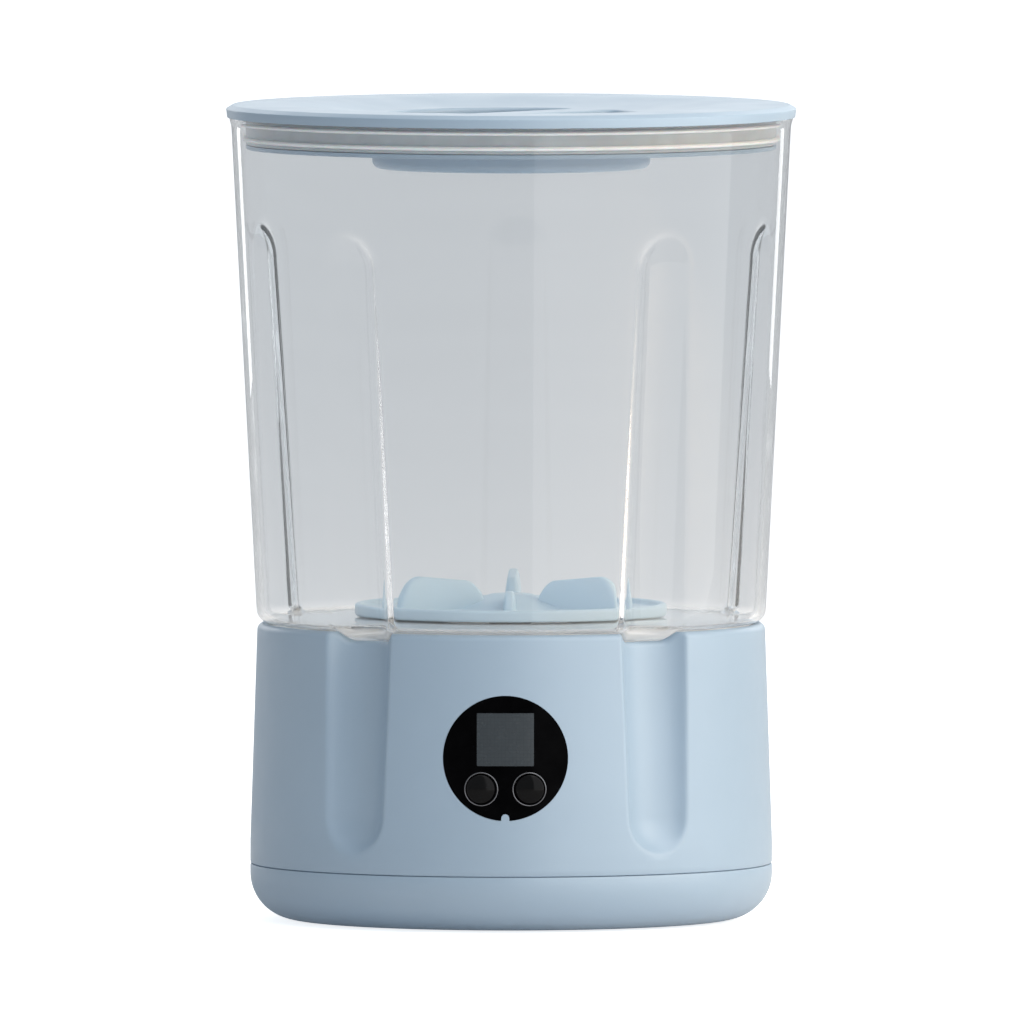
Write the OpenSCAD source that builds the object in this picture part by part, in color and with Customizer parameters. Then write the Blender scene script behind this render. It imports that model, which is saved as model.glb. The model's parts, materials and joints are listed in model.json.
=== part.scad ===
// Automatic fish feeder: a round powered base, a clear feed hopper and a sealed lid.
// +Z is up, the front with the display faces -Y, and the origin is the centre of the footprint.
// The hopper lifts off the base with its stirrer, and the lid lifts off the hopper.

/* [Base] */
// Radius of the base at its widest, just above the floor
base_r = 65.25; // [64.5:0.25:66]
// Radius of the base just under its top edge
base_top_r = 63.5; // [63.25:0.25:64]
// Height of the base's top edge
base_h = 73.9; // [73.5:0.1:74.5]
// Height of the seam between the housing and the bottom cover
seam_z = 14.3; // [14:0.1:14.6]
// Radius of the rounded lower edge
base_round = 11.5; // [10:0.5:12]
// Wall thickness of the base
base_wall = 2.5; // [2:0.1:2.8]

/* [Hopper] */
// Outer radius of the hopper's wall just above the base
hopper_foot_r = 63.7; // [63.5:0.1:64]
// Outer radius of the hopper's wall under the lid
hopper_rim_r = 70.1; // [69.8:0.1:70.4]
// Height of the hopper's rim
hopper_top = 201.5; // [190:0.5:215]
// Wall thickness of the hopper
hopper_wall = 2; // [1.6:0.1:2.2]
// Height of the floor that the feed lies on
floor_z = 75.5; // [75.4:0.1:75.6]

/* [Flutes] */
// Number of finger flutes round the hopper and base, one of them at the back
flute_count = 5; // [3:1:5]
// Radius of each flute's trough
flute_r = 12; // [11:0.5:13]
// Height of the hopper flutes' upper end
flute_top = 172.5; // [150:0.5:176]

/* [Lid] */
// Radius of the lid's flange
lid_r = 71.25; // [71:0.25:73]
// Thickness of the lid's flange
lid_t = 2.5; // [2:0.1:3]
// Radius of the finger well
well_r = 31.5; // [28:0.5:33]
// Width of the grip bar across the finger well
grip_w = 11; // [9:0.5:13]
// Direction of the grip bar, from +X
grip_angle = 50; // [0:5:175]

/* [Feed drive] */
// Radius of the stirrer's dish
dish_r = 38.75; // [38:0.25:39.5]
// Number of feed pockets in the portion wheel
pocket_count = 6; // [4:1:8]
// Radius of the drive shaft
shaft_r = 3; // [2.5:0.25:3.25]

/* [Display] */
// Radius of the round display window
window_r = 15.5; // [15:0.25:16.5]
// Height of the window's centre
window_z = 43.85; // [43:0.25:45]
// Radius of a button's head
button_r = 3.7; // [3.4:0.1:3.8]

/* [Hidden] */
$fn = 96;

blue = [0.72, 0.80, 0.86];
gap = 0.3;                              // clearance between parts that move apart
foot_h = 0.4;                           // how far the rubber feet stand proud of the cover
deck_z = 71.3;                          // top of the base's deck, under the hopper
deck_under = deck_z - base_wall;
rim_r = 61;                             // inner radius of the base's raised rim
rim_round = 2.4;                        // rounding of that rim's outer edge
spigot_r = rim_r - gap;                 // hopper's foot inside that rim
hopper_draft = (hopper_rim_r - hopper_foot_r) / (hopper_top - 77.5);
cup_r = 34.75;                          // cup under the lid, which holds the finger well
cup_z = hopper_top - 13.4;
lid_top_z = hopper_top + 0.4;           // the middle of the lid's dished top
lid_dish_r = 57;                        // where that dish meets the lid's flat edge
dish_z = 76;                            // underside of the stirrer's dish
dish_rim_z = 79.3;
blade_top = 87;
tube_r = 42;                            // metering housing's outer radius
wheel_r = 38;
wheel_z = [55, 69];
plate_z = [34, 36.5];                   // gear plate's underside and top
mesh_z = [38, 42];                      // first gear stage
drive_z = [42.5, 48];                   // second gear stage
module_1 = 0.8;
module_2 = 1;
pinion_teeth = 10;
wheel_teeth = 32;
small_teeth = 12;
output_teeth = 30;
idler_dir = 215;                        // direction of the idler from the drive shaft
motor_dir = 150;                        // direction of the motor from the idler
idler_xy = module_2 * (output_teeth + small_teeth) / 2 * [cos(idler_dir), sin(idler_dir)];
motor_xy = idler_xy + module_1 * (wheel_teeth + pinion_teeth) / 2 * [cos(motor_dir), sin(motor_dir)];
post_xy = [[-3, -26], [-22.5, 17], [23, -6]];
ear_dirs = [20, 160, 270];              // metering housing's screw ears
ear_r = 44.5;
column_dirs = [-18, 60, 120, 198];      // cover screws' columns
column_r = 50;
button_x = 6;
button_z = 36.2;
board_y = [-54, -52.4];
screen_z = 48.5;
mouth_y = [58, 68.5];                   // outlet spout's inner and outer ends
duct_w = 30;
spout_w = 36;
spout_z = [seam_z + 0.1, 40.4];         // its underside rests on the cover, just above the seam
cell_x = 33;
foot_dirs = [-45, 45, 135, 225];
foot_circle_r = 38;
foot_r = 6;

function hopper_r(z) = hopper_foot_r + hopper_draft * (z - 77.5);
function arc(centre, r, from, to, steps = 8) =
    [for (i = [0:steps]) centre + r * [cos(from + (to - from) * i / steps), sin(from + (to - from) * i / steps)]];
function flute_dir(i) = 90 + 360 * i / flute_count;

// The involute function of a pressure angle, in degrees.
function involute(a) = tan(a) * 180 / PI - a;

// Outline of a spur gear with stub involute teeth, one tooth centred on +X.
function gear_points(teeth, m) =
    let (
        r = m * teeth / 2,
        root = r - m,
        base = r * cos(25),
        tip = r + 0.75 * m,
        half = 90 / teeth * 0.9,
        low = max(base, root),
        radii = [low, (low + r) / 2, r, (r + tip) / 2, tip]
    )
    [for (i = [0:teeth - 1], side = [-1, 1], k = [0:5])
        let (
            j = side < 0 ? k : 5 - k,
            rho = j == 0 ? root : radii[j - 1],
            turn = 360 * i / teeth + side * (half + involute(25) - involute(acos(min(1, base / max(rho, low)))))
        )
        rho * [cos(turn), sin(turn)]];

module gear(teeth, m, z, turn) {
    translate([0, 0, z[0]])
        rotate(turn)
            linear_extrude(z[1] - z[0])
                polygon(gear_points(teeth, m));
}

module ring(r_out, r_in, z0, z1) {
    translate([0, 0, z0])
        difference() {
            cylinder(r = r_out, h = z1 - z0);
            translate([0, 0, -1])
                cylinder(r = r_in, h = z1 - z0 + 2);
        }
}

module disc(r, z0, z1) {
    translate([0, 0, z0])
        cylinder(r = r, h = z1 - z0);
}

module at(direction, r) {
    rotate(direction)
        translate([r, 0, 0])
            children();
}

// Ring sector centred on a direction, between two radii and two heights.
module sector(direction, half_angle, r_in, r_out, z0, z1) {
    rotate(direction - half_angle)
        rotate_extrude(angle = 2 * half_angle)
            translate([r_in, z0])
                square([r_out - r_in, z1 - z0]);
}

// A round-ended trough whose axis leans from [distance, height] low to high.
module trough(r, low, high, round_low, round_high) {
    run = high - low;
    length = norm(run);
    lean = atan2(run[0], run[1]);
    translate([low[0], 0, low[1]])
        rotate([0, lean, 0]) {
            cylinder(r = r, h = length);
            if (round_low) sphere(r = r);
            if (round_high) translate([0, 0, length]) sphere(r = r);
        }
}

module hopper_flutes(r) {
    for (i = [0:flute_count - 1])
        rotate(flute_dir(i))
            trough(r, [69.9, 65], [77.2, flute_top - 8.2], false, true);
}

// The back flute ends above the feed outlet.
module base_flutes(r) {
    for (i = [0:flute_count - 1])
        rotate(flute_dir(i))
            if (i == 0)
                trough(r, [70.5, 57], [69.1, 78], true, false);
            else
                trough(r, [72.4, 29], [69.1, 78], true, false);
}

// Outer form of the base, moved inwards by t, between two heights.
module base_form(t, z0, z1) {
    intersection() {
        rotate_extrude()
            polygon(concat(
                [[0, foot_h + t], [base_r - base_round, foot_h + t]],
                arc([base_r - base_round, foot_h + base_round], base_round - t, -90, 0),
                [[base_r - t, 20], [base_top_r - t, base_h - rim_round]],
                arc([base_top_r - rim_round - t, base_h - rim_round], rim_round, 0, 90, 6),
                [[0, base_h]]));
        disc(base_r + 1, z0, z1);
    }
}

// ---------------------------------------------------------------- lid

module lid_top() {
    color(blue)
    union() {
        rotate_extrude()
            polygon(concat(
                arc([cup_r - 2, cup_z + 2], 2, -90, 0, 4),
                [[cup_r, hopper_top - 2.1], [62, hopper_top - 2.1], [66, hopper_top]],
                arc([lid_r - lid_t / 2, hopper_top + lid_t / 2], lid_t / 2, -80, 90, 8),
                [[lid_dish_r, hopper_top + lid_t], [well_r + 4, lid_top_z], [well_r + 1.5, lid_top_z],
                 [well_r, lid_top_z - 0.8], [well_r, cup_z + 2], [0, cup_z + 2], [0, cup_z]]));
        intersection() {
            rotate(grip_angle)
                translate([-36, -grip_w / 2, cup_z + 1])
                    cube([72, grip_w, lid_top_z - 0.2 - cup_z - 1]);
            disc(well_r + 1, cup_z, hopper_top + 1);
        }
    }
}

// Inner half of the lid, which holds the seal.
module lid_plug() {
    color(blue)
    translate([0, 0, hopper_top])
        rotate_extrude()
            polygon([
                [cup_r + 0.3, -8.5], [65.6, -8.5], [66.4, -7.7], [66.4, -7.3], [64.3, -7.3], [64.3, -1.2],
                [62, -2.4], [60.5, -2.4], [60.5, -6.5], [cup_r + 0.3, -6.5]]);
}

module lid_seal() {
    color([0.80, 0.81, 0.82])
    translate([0, 0, hopper_top])
        rotate_extrude()
            polygon([
                [64.4, -7.2], [66.3, -7.2], [66.3, -6.5], [67.5, -5.9], [66.3, -5.3],
                [66.3, -2.7], [67.6, -2], [66.3, -1.3], [66.3, -0.3], [65.6, -0.3], [64.4, -1]]);
}

// ---------------------------------------------------------------- hopper and stirrer

module hopper() {
    color([0.85, 0.88, 0.90, 0.35])
    difference() {
        rotate_extrude()
            polygon(concat(
                [[0, deck_z], [spigot_r, deck_z], [spigot_r, 74.2]],
                arc([hopper_foot_r - 3.3, 77.5], 3.3, -80, 0, 5),
                [[hopper_r(hopper_top - 2.5), hopper_top - 2.5], [hopper_rim_r + 0.6, hopper_top],
                 [0, hopper_top]]));
        hopper_flutes(flute_r);
        difference() {
            rotate_extrude()
                polygon(concat(
                    [[0, floor_z], [58.4, floor_z]],
                    arc([hopper_foot_r - hopper_wall - 2.6, floor_z + 2.6], 2.6, -80, 0, 5),
                    [[hopper_r(hopper_top) - hopper_wall, hopper_top + 1], [0, hopper_top + 1]]));
            hopper_flutes(flute_r + hopper_wall);
        }
        difference() {
            disc(spigot_r - hopper_wall, deck_z - 1, floor_z - 2.2);
            disc(39, deck_z - 2, floor_z);
            hopper_flutes(flute_r + hopper_wall);
        }
        disc(39, deck_z - 1, deck_z + gap);
        disc(7, deck_z - 1, floor_z + 1);
        sector(-90, 26, 12, 36, deck_z - 1, floor_z + 1);
    }
}

module stirrer_washer() {
    color([0.9, 0.9, 0.88])
    ring(11, 7.2, floor_z, dish_z);
}

// One blade of the stirrer: wide at its foot and thin at its rounded top.
module blade(direction) {
    at(direction, 0)
        rotate([90, 0, 0])
            translate([0, 0, -1.7])
                linear_extrude(3.4)
                    polygon(concat(
                        [[6.6, dish_z + 1], [32.6, dish_z + 1], [31.9, 80]],
                        arc([26.8, blade_top - 3], 3, 10, 90, 4),
                        arc([13.8, blade_top - 5.5], 3, 100, 170, 4),
                        [[7.6, 80]]));
}

module feed_stirrer() {
    color(blue)
    difference() {
        union() {
            rotate_extrude()
                polygon([
                    [0, dish_z], [dish_r - 1, dish_z], [dish_r, dish_z + 1], [dish_r, dish_rim_z],
                    [dish_r - 2, dish_rim_z], [dish_r - 2, dish_z + 2], [14, dish_z + 2.2], [5, 81.5], [0, 82]]);
            disc(6.94, deck_z + 0.5, dish_z + 1);
            for (d = [-30, 90, 210])
                blade(d);
            for (d = [-90, 30, 150])
                at(d, 7)
                    translate([0, -1.45, dish_z + 1])
                        cube([20, 2.9, 6]);
        }
        for (d = [-60, 0, 60, 120, 180, 240])
            sector(d, 13, 15, 33, dish_z - 1, dish_z + 3);
        disc(5.3, deck_z - 1, 78.5, $fn = 6);
    }
}

// ---------------------------------------------------------------- portion metering

module gate_plate() {
    color([0.93, 0.94, 0.95])
    difference() {
        disc(39.9, 69.3, deck_z);
        disc(7.2, 69, deck_z + 1);
        sector(-90, 26, 12, 36, 69, deck_z + 1);
    }
}

module portion_wheel() {
    color([0.93, 0.94, 0.95])
    difference() {
        union() {
            ring(wheel_r, wheel_r - 1.6, wheel_z[0], wheel_z[1]);
            disc(9, wheel_z[0], wheel_z[1]);
            for (i = [0:pocket_count - 1])
                rotate(90 + 180 / pocket_count + 360 * i / pocket_count)
                    translate([7, -1, wheel_z[0]])
                        cube([wheel_r - 8, 2, wheel_z[1] - wheel_z[0]]);
        }
        disc(shaft_r + 0.02, 50, 75);
    }
}

module metering_housing() {
    color([0.88, 0.90, 0.92])
    difference() {
        union() {
            disc(tube_r, 52, deck_z);
            for (d = ear_dirs)
                hull() {
                    at(d, ear_r) disc(3.6, deck_under - 3, deck_under);
                    at(d, ear_r - 6) disc(3.6, deck_under - 3, deck_under);
                }
            for (p = post_xy)
                translate(p) disc(3.6, plate_z[1], 53);
            disc(9, 50, 53);
        }
        disc(wheel_r + 0.4, 54.5, 70);
        disc(40, 69.3, deck_z + 1);
        disc(5.52, 49, 60);
        sector(90, 24, 20, 36.5, 50, 56);
        for (d = ear_dirs)
            at(d, ear_r) disc(1.4, 60, 70);
        for (p = post_xy)
            translate(p) disc(1.2, plate_z[1] - 1, plate_z[1] + 8);
    }
}

// A pan-head screw pointing up, with its head's underside at the origin.
module screw(length, r, head_r, head_h) {
    difference() {
        union() {
            cylinder(r = r, h = length);
            translate([0, 0, -head_h])
                cylinder(r1 = head_r - 0.4, r2 = head_r, h = head_h);
        }
        for (turn = [0, 90])
            rotate(turn)
                translate([-head_r * 0.6, -0.3, -head_h - 1])
                    cube([head_r * 1.2, 0.6, 1.8]);
    }
}

module metering_screws() {
    color("silver")
    for (d = ear_dirs)
        at(d, ear_r)
            translate([0, 0, deck_under - 3])
                screw(5, 1.2, 2.6, 1.6);
}

// ---------------------------------------------------------------- drive

module drive_shaft() {
    color("silver")
    difference() {
        disc(shaft_r, 31.5, 70);
        translate([shaft_r - 0.5, -5, drive_z[0]])
            cube([5, 10, 5]);
    }
}

module drive_dog() {
    color([0.30, 0.32, 0.34])
    difference() {
        union() {
            disc(5, 70.2, 77.5, $fn = 6);
            disc(6.8, wheel_z[1] + 0.05, 71, $fn = 64);
        }
        disc(shaft_r + 0.02, 60, 70.1);
    }
}

module upper_bush() {
    color([0.72, 0.55, 0.30])
    ring(5.5, shaft_r + 0.05, 50, 54.4);
}

module lower_bush() {
    color([0.72, 0.55, 0.30])
    union() {
        ring(5, shaft_r + 0.05, plate_z[0] - 0.5, plate_z[1]);
        ring(6.5, shaft_r + 0.05, plate_z[1], plate_z[1] + 0.8);
    }
}

module output_gear() {
    color([0.90, 0.90, 0.86])
    difference() {
        union() {
            gear(output_teeth, module_2, drive_z, idler_dir);
            disc(6, drive_z[0] - 3, drive_z[1] + 1.2);
        }
        disc(shaft_r + 0.02, 30, 60);
    }
}

module idler_gear() {
    color([0.90, 0.90, 0.86])
    translate(idler_xy)
        difference() {
            union() {
                gear(wheel_teeth, module_1, mesh_z, motor_dir);
                gear(small_teeth, module_2, [mesh_z[1] - 0.5, drive_z[1]], idler_dir + 180 + 180 / small_teeth);
            }
            disc(1.55, 30, 60);
        }
}

module idler_pin() {
    color("silver")
    translate(idler_xy)
        union() {
            disc(1.5, plate_z[0] - 0.5, 49.5);
            disc(2.4, plate_z[1], plate_z[1] + 1);
            disc(2.4, drive_z[1] + 0.3, 49);
        }
}

module motor_pinion() {
    color([0.78, 0.62, 0.32])
    translate(motor_xy)
        union() {
            gear(pinion_teeth, module_1, mesh_z, motor_dir + 180 + 180 / pinion_teeth);
            disc(1.5, 32.5, mesh_z[0] + 1);
        }
}

module gearmotor() {
    color([0.62, 0.63, 0.65])
    translate(motor_xy)
        difference() {
            union() {
                disc(12.2, 6, 24);
                disc(12.5, 24, plate_z[0]);
                disc(4, 4.8, 6);
                disc(3, plate_z[0], plate_z[0] + 1.5);
            }
            disc(1.55, 32, 40);
            for (a = [0, 180])
                at(a, 8.5) disc(1.1, plate_z[0] - 5, 40);
        }
}

module gear_plate() {
    color([0.75, 0.77, 0.80])
    difference() {
        union() {
            translate([0, 0, plate_z[0]])
                linear_extrude(plate_z[1] - plate_z[0])
                    polygon([post_xy[0], post_xy[2], [4, 12], post_xy[1], [-31, 12], [-44, -4], [-34, -17]]);
            for (p = post_xy)
                translate(p) disc(5, plate_z[0], plate_z[1]);
            disc(9, plate_z[0], plate_z[1]);
            translate(idler_xy) disc(7, plate_z[0], plate_z[1]);
            translate(motor_xy) disc(12.5, plate_z[0], plate_z[1]);
        }
        disc(5.02, 30, 40);
        translate(idler_xy) disc(1.52, 30, 40);
        translate(motor_xy) {
            disc(3.1, 30, 40);
            for (a = [0, 180])
                at(a, 8.5) disc(1.3, 30, 40);
        }
        for (p = post_xy)
            translate(p) disc(1.4, 30, 40);
    }
}

module gear_plate_screws() {
    color("silver")
    union() {
        for (p = post_xy)
            translate([p[0], p[1], plate_z[0]])
                screw(7, 1.15, 2.4, 1.5);
        for (a = [0, 180])
            translate([motor_xy[0], motor_xy[1], plate_z[1]])
                at(a, 8.5)
                    mirror([0, 0, 1])
                        screw(6, 1, 1.9, 1.2);
    }
}

// ---------------------------------------------------------------- outlet

// Side outline of the feed duct, [distance back, height], grown outwards by t.
function duct_side(t) = [
    [18 - t, 54], [18 - t, 52 - t * 0.5], [58, 23 - t * 1.24], [80, 9.2 - t * 1.24],
    [80, 28.3 + t * 1.15], [58, 41 + t * 1.15], [37.5 + t, 52.5 + t * 0.4], [37.5 + t, 54]];

module duct(t, y0, y1) {
    intersection() {
        rotate([90, 0, 90])
            translate([0, 0, -duct_w / 2 - t])
                linear_extrude(duct_w + 2 * t)
                    polygon(duct_side(t));
        translate([-30, y0, 10])
            cube([60, y1 - y0, 42]);
    }
}

module feed_chute() {
    color([0.88, 0.90, 0.92])
    difference() {
        duct(1.6, 0, mouth_y[0]);
        duct(0, -1, mouth_y[0] + 1);
        // The open top, under the metering housing's outlet
        translate([1 - duct_w / 2, 10, 51])
            cube([duct_w - 2, 26, 4]);
    }
}

module outlet_spout() {
    color(blue)
    difference() {
        translate([-spout_w / 2, mouth_y[0], spout_z[0]])
            cube([spout_w, mouth_y[1] - mouth_y[0], spout_z[1] - spout_z[0]]);
        duct(0, mouth_y[0] - 1, mouth_y[1] + 1);
    }
}

// ---------------------------------------------------------------- base

module base_housing() {
    color(blue)
    difference() {
        union() {
            difference() {
                base_form(0, seam_z, base_h);
                difference() {
                    base_form(base_wall, seam_z - 1, deck_under);
                    base_flutes(flute_r + base_wall);
                }
                disc(rim_r, deck_z, base_h + 1);
                base_flutes(flute_r);
            }
            for (d = column_dirs)
                at(d, column_r) disc(4, 7, deck_under + 1);
        }
        disc(tube_r + 0.3, 60, 80);
        for (d = column_dirs)
            at(d, column_r) disc(1.2, 0, 20);
        for (d = ear_dirs)
            at(d, ear_r) disc(1.22, 60, 71);
        translate([0, -40, window_z])
            rotate([90, 0, 0])
                cylinder(r = window_r + 0.1, h = 40);
        // The spout's slot, open to the seam so that the spout goes in from below
        translate([-spout_w / 2 - 0.1, 50, seam_z - 1])
            cube([spout_w + 0.2, 30, spout_z[1] + 0.1 - seam_z + 1]);
        at(42, 50)
            translate([0, -4.6, 22])
                cube([20, 9.2, 3.6]);
    }
}

module base_cover() {
    color(blue)
    difference() {
        union() {
            difference() {
                base_form(0, 0, seam_z);
                base_form(base_wall, 0, seam_z + 1);
            }
            ring(base_r - base_wall + 0.5, base_r - base_wall - 1.8, seam_z - 3, seam_z - 0.5);
            difference() {
                ring(base_r - base_wall - 0.2, base_r - base_wall - 1.8, seam_z - 1, seam_z + 2);
                translate([-19, 40, seam_z - 0.5])
                    cube([38, 40, 5]);
            }
            for (d = column_dirs)
                at(d, column_r) disc(4.2, foot_h, 6.9);
        }
        for (d = column_dirs)
            at(d, column_r) {
                disc(1.6, -1, 8);
                disc(3, -1, 3.4);
            }
        for (d = foot_dirs)
            at(d, foot_circle_r) disc(foot_r + 0.1, -1, foot_h + 1.4);
    }
}

module cover_screws() {
    color("silver")
    for (d = column_dirs)
        at(d, column_r)
            translate([0, 0, 3.4])
                screw(12, 1.15, 2.6, 1.6);
}

module rubber_feet() {
    color([0.25, 0.26, 0.27])
    for (d = foot_dirs)
        at(d, foot_circle_r) disc(foot_r, 0, foot_h + 1.4);
}

// ---------------------------------------------------------------- display

// The base's outer form behind a flat back, where the display sits in the wall.
module display_skin(sunk, back) {
    intersection() {
        base_form(sunk, 25, 62);
        translate([-20, -70, 20])
            cube([40, 70 + back, 50]);
    }
}

module display_window() {
    color([0.03, 0.03, 0.04])
    difference() {
        intersection() {
            display_skin(0, -60.5);
            translate([0, -40, window_z])
                rotate([90, 0, 0])
                    cylinder(r = window_r, h = 40);
        }
        for (side = [-1, 1])
            translate([side * button_x, -50, button_z])
                rotate([90, 0, 0])
                    cylinder(r = 4.27, h = 30);
        translate([-7.25, -80, screen_z - 6.7])
            cube([14.5, 30, 13.4]);
        translate([-1, -80, window_z - window_r - 1])
            cube([2, 30, 2.75]);
    }
}

module display_screen() {
    color([0.25, 0.26, 0.28])
    intersection() {
        display_skin(0.08, -60.4);
        translate([-7.2, -80, screen_z - 6.65])
            cube([14.4, 30, 13.3]);
    }
}

module display_module() {
    color([0.20, 0.35, 0.28])
    translate([-10, -60.3, 41.5])
        cube([20, 6.2, 15.5]);
}

module button_rings() {
    color([0.55, 0.56, 0.58])
    for (side = [-1, 1])
        intersection() {
            translate([side * button_x, -60.6, button_z])
                rotate([90, 0, 0])
                    difference() {
                        cylinder(r = 4.25, h = 10);
                        translate([0, 0, -1])
                            cylinder(r = 3.95, h = 12);
                    }
            base_form(-0.1, 25, 62);
        }
}

// A domed button head with a flange behind the window and a stem to its switch.
module button(side) {
    translate([side * button_x, 0, button_z])
        rotate([90, 0, 0])
            union() {
                translate([0, 0, 60.1])
                    cylinder(r = button_r, h = 3.9);
                intersection() {
                    translate([0, 0, 55.9])
                        sphere(r = 9);
                    translate([0, 0, 63])
                        cylinder(r = button_r, h = 4);
                }
                translate([0, 0, 59.4])
                    cylinder(r = 4.5, h = 0.8);
                translate([0, 0, 58.7])
                    cylinder(r = 1.5, h = 1);
            }
}

module button_left() {
    color([0.03, 0.03, 0.04]) button(-1);
}

module button_right() {
    color([0.03, 0.03, 0.04]) button(1);
}

module control_board() {
    color([0.10, 0.38, 0.24])
    difference() {
        translate([-17, board_y[0], 27])
            cube([34, board_y[1] - board_y[0], 33]);
        for (x = [-14, 14], z = [30, 57])
            translate([x, 0, z])
                rotate([90, 0, 0])
                    cylinder(r = 1.2, h = 80);
    }
}

module tact_switches() {
    color([0.15, 0.15, 0.16])
    for (side = [-1, 1])
        translate([side * button_x, board_y[0], button_z])
            union() {
                translate([-3, -3.5, -3])
                    cube([6, 3.5, 6]);
                rotate([90, 0, 0])
                    cylinder(r = 1.75, h = 4);
            }
}

module board_screws() {
    color("silver")
    for (x = [-14, 14], z = [30, 57])
        translate([x, board_y[1], z])
            rotate([90, 0, 0])
                screw(6.5, 1.1, 2.2, 1.4);
}

// ---------------------------------------------------------------- power

module battery_cell() {
    color([0.35, 0.55, 0.75])
    translate([cell_x, 32.5, 15.5])
        rotate([90, 0, 0])
            union() {
                cylinder(r = 9.2, h = 64);
                translate([0, 0, 64])
                    cylinder(r = 3, h = 1);
            }
}

module battery_holder() {
    color([0.12, 0.12, 0.13])
    difference() {
        translate([cell_x - 10.5, -36, 3.4])
            cube([21, 72, 10.6]);
        translate([cell_x, 33.5, 15.5])
            rotate([90, 0, 0])
                cylinder(r = 9.5, h = 67);
    }
}

module power_inlet() {
    color([0.70, 0.71, 0.73])
    at(42, 55)
        difference() {
            translate([0, -4.5, 22.1])
                cube([9.5, 9, 3.4]);
            translate([3, -3.9, 22.7])
                cube([8, 7.8, 2.2]);
        }
}

lid_top();
lid_plug();
lid_seal();
hopper();
stirrer_washer();
feed_stirrer();
gate_plate();
portion_wheel();
metering_housing();
metering_screws();
drive_shaft();
drive_dog();
upper_bush();
lower_bush();
output_gear();
idler_gear();
idler_pin();
motor_pinion();
gearmotor();
gear_plate();
gear_plate_screws();
feed_chute();
outlet_spout();
base_housing();
base_cover();
cover_screws();
rubber_feet();
display_window();
display_screen();
display_module();
button_rings();
button_left();
button_right();
control_board();
tact_switches();
board_screws();
battery_cell();
battery_holder();
power_inlet();
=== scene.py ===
"""Looks of the automatic fish feeder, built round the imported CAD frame. Sizes are in millimetres until a
mesh is made, and +Z is up with the display facing -Y."""

import json
import math

import bmesh
import bpy
import numpy as np
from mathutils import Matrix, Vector


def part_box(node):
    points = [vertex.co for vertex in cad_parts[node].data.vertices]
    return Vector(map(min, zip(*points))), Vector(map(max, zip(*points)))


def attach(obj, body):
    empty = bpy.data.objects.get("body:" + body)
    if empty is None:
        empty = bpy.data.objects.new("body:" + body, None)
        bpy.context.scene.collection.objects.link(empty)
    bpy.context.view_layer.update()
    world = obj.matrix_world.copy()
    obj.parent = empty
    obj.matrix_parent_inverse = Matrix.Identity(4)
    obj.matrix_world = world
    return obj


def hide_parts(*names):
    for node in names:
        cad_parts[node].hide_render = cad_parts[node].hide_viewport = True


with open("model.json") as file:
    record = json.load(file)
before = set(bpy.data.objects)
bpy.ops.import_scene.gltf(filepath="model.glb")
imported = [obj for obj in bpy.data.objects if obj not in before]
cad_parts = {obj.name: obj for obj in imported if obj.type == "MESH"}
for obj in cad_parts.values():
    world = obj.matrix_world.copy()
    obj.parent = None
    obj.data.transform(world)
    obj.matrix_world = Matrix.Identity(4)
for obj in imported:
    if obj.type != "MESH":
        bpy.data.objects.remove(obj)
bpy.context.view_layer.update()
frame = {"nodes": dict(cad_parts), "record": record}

MM = 0.001


def node_box(node):
    """Lowest and highest corner of a CAD node, in millimetres."""
    low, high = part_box(node)
    return np.array(low) / MM, np.array(high) / MM


# ------------------------------------------------------------------ sizes taken from the frame

BASE_HIGH = node_box("base_housing")[1]
COVER_LOW, COVER_HIGH = node_box("base_cover")
HOPPER_LOW, HOPPER_HIGH = node_box("hopper")
LID_LOW, LID_HIGH = node_box("lid_top")
STIR_LOW, STIR_HIGH = node_box("feed_stirrer")
WINDOW_LOW, WINDOW_HIGH = node_box("display_window")
SPOUT_LOW, SPOUT_HIGH = node_box("outlet_spout")

BASE_R = BASE_HIGH[0]
BASE_TOP = BASE_HIGH[2]
SEAM = COVER_HIGH[2] - 2.0
FOOT = COVER_LOW[2]
DECK = HOPPER_LOW[2]
RIM = HOPPER_HIGH[2]
LID_R = LID_HIGH[0]
LID_TOP = LID_HIGH[2]
CUP_LOW = LID_LOW[2]
DISH_R = STIR_HIGH[0]
WINDOW_R = (WINDOW_HIGH[0] - WINDOW_LOW[0]) / 2
WINDOW_Z = (WINDOW_HIGH[2] + WINDOW_LOW[2]) / 2

# ------------------------------------------------------------------ design sizes shared by several pieces

BASE_TOP_R = 63.5
BASE_WALL = 2.5
BASE_ROUND = 11.5
HOPPER_FOOT_R = 63.7
HOPPER_RIM_R = 70.1
HOPPER_WALL = 2.0
HOPPER_DRAFT = (HOPPER_RIM_R - HOPPER_FOOT_R) / (RIM - 77.5)
FLOOR = 75.5
FLOOR_FILLET = 2.6  # rounding between the hopper's floor and wall
SHOULDER_R = 3.3  # rounding between the hopper's wall and foot
FOOT_STEP = 3.0  # how far the hopper's foot is inside its wall
FOOT_GAP = 0.3  # clearance between that foot and the base's rim
LEVEL = 86.0  # height where the dips in the rim no longer bend the rows of the hopper's mesh
FOOT_PAINTED_LIGHT_LOW, FOOT_PAINTED_LIGHT_HIGH = 74.8, 76.2  # the hopper's foot is turned pale and partly opaque, painted light over the dark gap below it, fading out between these heights
FOOT_PAINTED_LIGHT_CLARITY = 0.63  # how clear the pale foot stays (painted light)
FLUTE_R = 12.0
FLUTE_COUNT = 5
FLUTE_TOP = 164.3  # height where the hopper flutes start to close
DIP = 2.3  # how far the rim between base and hopper drops in each flute
EDGE = 0.5  # rounding of the flutes' edges
RIM_ROUND = 1.7  # rounding of the base's top edge
RIM_LIFT = 0.5  # how far the soft top edge stands above the frame's
SHOULDER = 77.75  # height where the hopper's wall starts to turn in to its foot
CUP_R = 34.75
WELL_R = 31.5
GRIP_W = 11.0
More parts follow.
